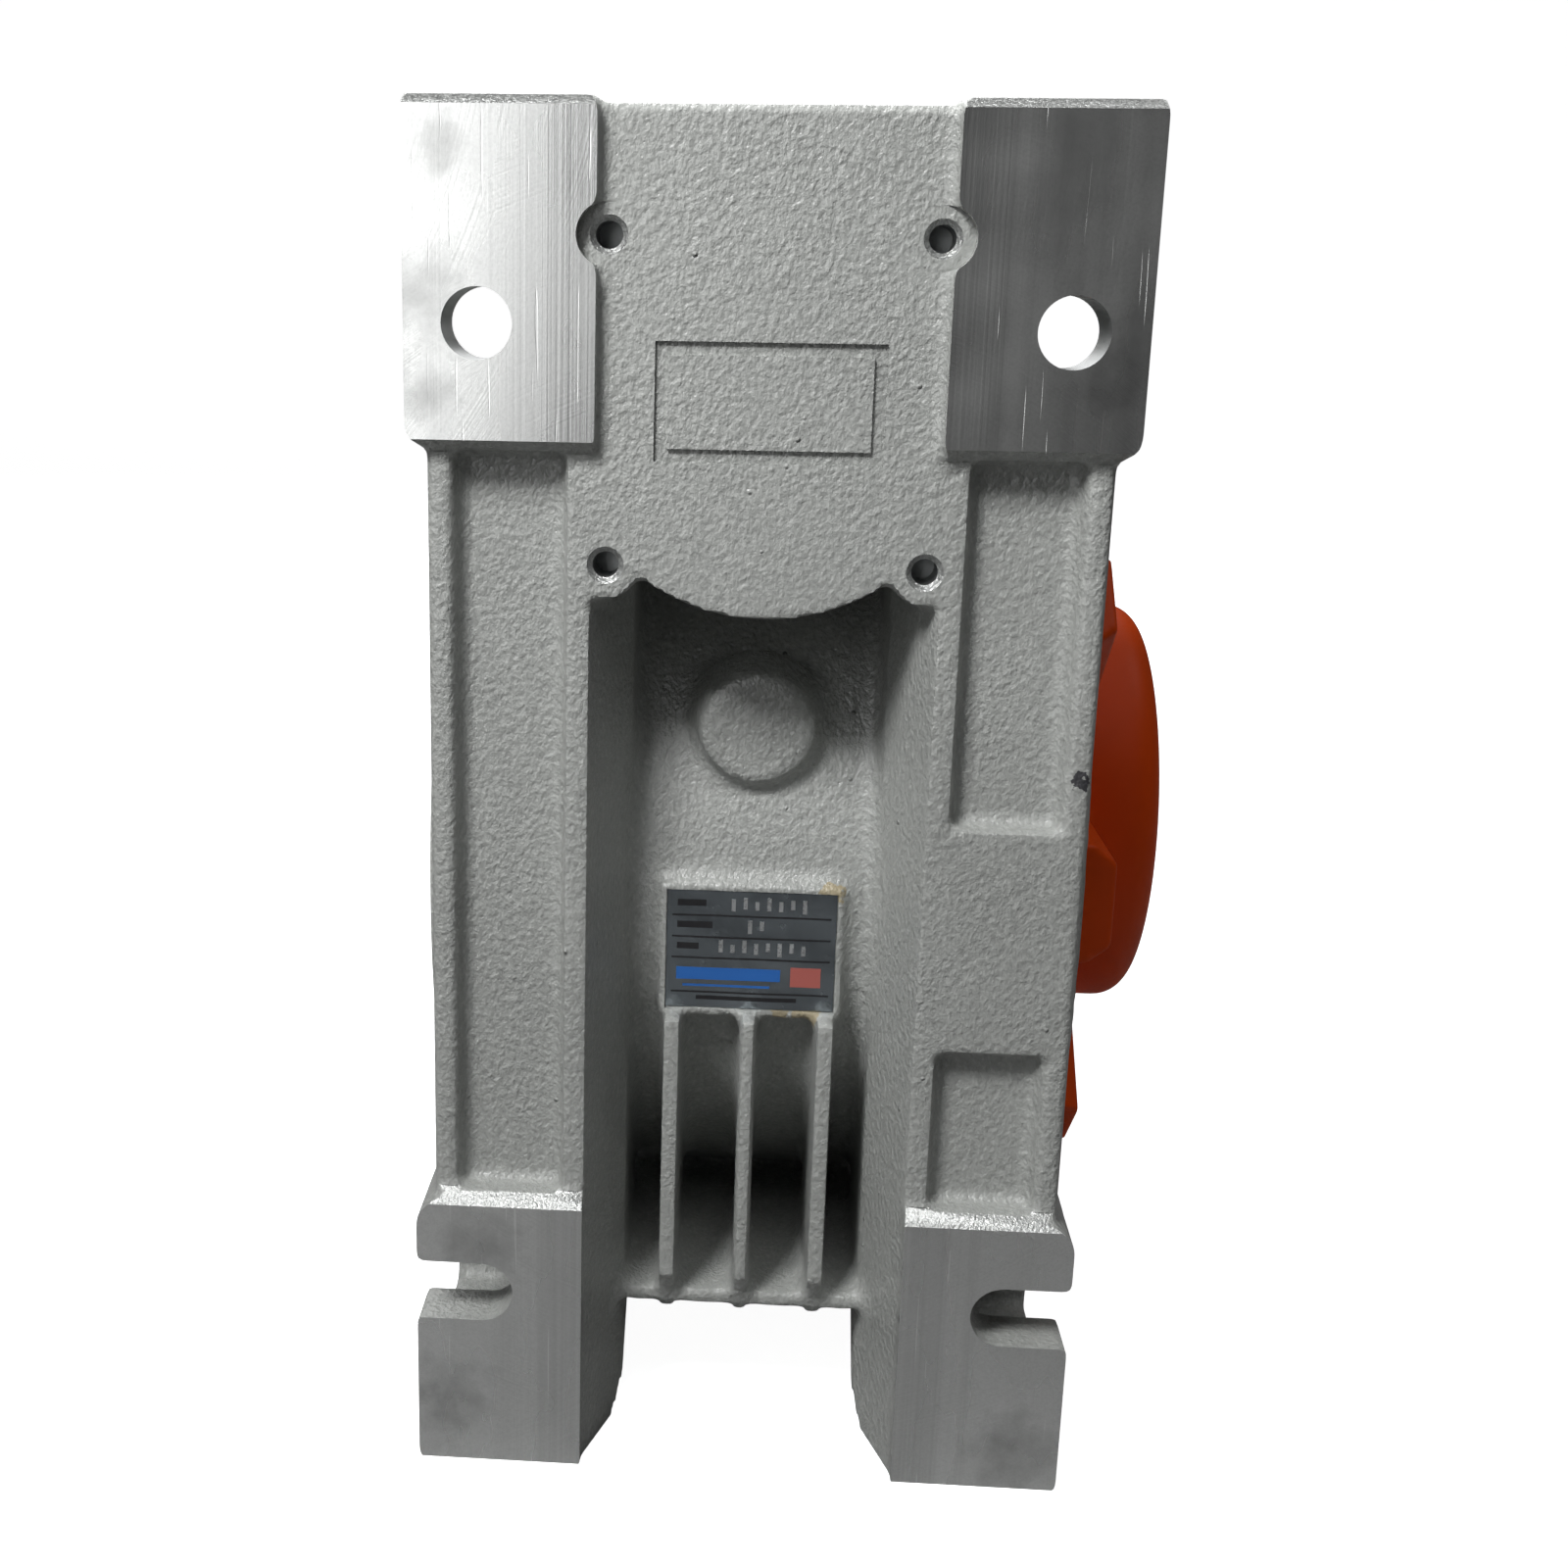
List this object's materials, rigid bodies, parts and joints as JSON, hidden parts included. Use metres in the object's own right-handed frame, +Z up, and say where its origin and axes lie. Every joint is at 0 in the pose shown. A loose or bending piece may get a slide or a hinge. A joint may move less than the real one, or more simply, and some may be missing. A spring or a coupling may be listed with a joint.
{
  "type": "worm gearbox",
  "caption": "Right-angle worm gearbox with a hollow keyed output shaft under a plastic cover, a hollow motor input with a round flange, feet, slots and fins.",
  "frame": {"origin": "centre of the output bore, midway between its ends", "axes": "+X along the output axis towards the protective cover, +Y along the worm axis towards the motor, +Z up"},
  "size_m": [0.18, 0.2862, 0.3175],
  "materials": {
    "grey_paint": "light grey textured paint over die-cast aluminium, bare milled pads",
    "gasket_paper": "oiled gasket paper",
    "black_steel": "black oxide steel",
    "plate_silver": "satin printed plate",
    "brass": "turned brass",
    "copper_washer": "soft copper",
    "seal_rubber": "moulded rubber",
    "bearing_steel": "ground and polished",
    "orange_plastic": "moulded plastic, fine grain",
    "shaft_steel": "ground steel",
    "bronze": "cut bronze"
  },
  "bodies": {
    "casing": {"housing": "grey_paint", "side_cover": "grey_paint", "side_cover_gasket": "gasket_paper", "side_cover_screws": "black_steel", "nameplate": "plate_silver", "breather_plug": "brass", "level_plug": "black_steel", "drain_plug": "black_steel", "plug_washers": "copper_washer", "input_flange": "grey_paint", "input_flange_gasket": "gasket_paper", "input_flange_screws": "black_steel", "input_seal": "seal_rubber", "input_circlip": "black_steel", "input_bearing_cup": "bearing_steel", "input_bearing_rollers": "bearing_steel", "rear_bearing_cup": "bearing_steel", "rear_bearing_rollers": "bearing_steel", "rear_bearing_shim": "bearing_steel", "left_output_seal": "seal_rubber", "right_output_seal": "seal_rubber", "left_bearing_outer_ring": "bearing_steel", "left_bearing_balls": "bearing_steel", "left_bearing_cage": "brass", "right_bearing_outer_ring": "bearing_steel", "right_bearing_balls": "bearing_steel", "right_bearing_cage": "brass", "output_cover": "orange_plastic", "output_cover_screws": "black_steel"},
    "output_wheel": {"output_hub": "shaft_steel", "wheel_rim": "bronze", "left_bearing_inner_ring": "bearing_steel", "right_bearing_inner_ring": "bearing_steel"},
    "worm": {"worm_shaft": "shaft_steel", "input_bearing_cone": "bearing_steel", "rear_bearing_cone": "bearing_steel"}
  },
  "joints": [
    {"name": "wheel_spin", "type": "hinge", "parent": "casing", "child": "output_wheel", "pos_m": [0, 0, 0], "axis": [1, 0, 0], "continuous": true},
    {"name": "worm_spin", "type": "hinge", "parent": "casing", "child": "worm", "pos_m": [0, 0, 0.11], "axis": [0, 1, 0], "continuous": true}
  ],
  "couplings": [
    {"joint": "worm_spin", "follows": "wheel_spin", "ratio": 15}
  ]
}
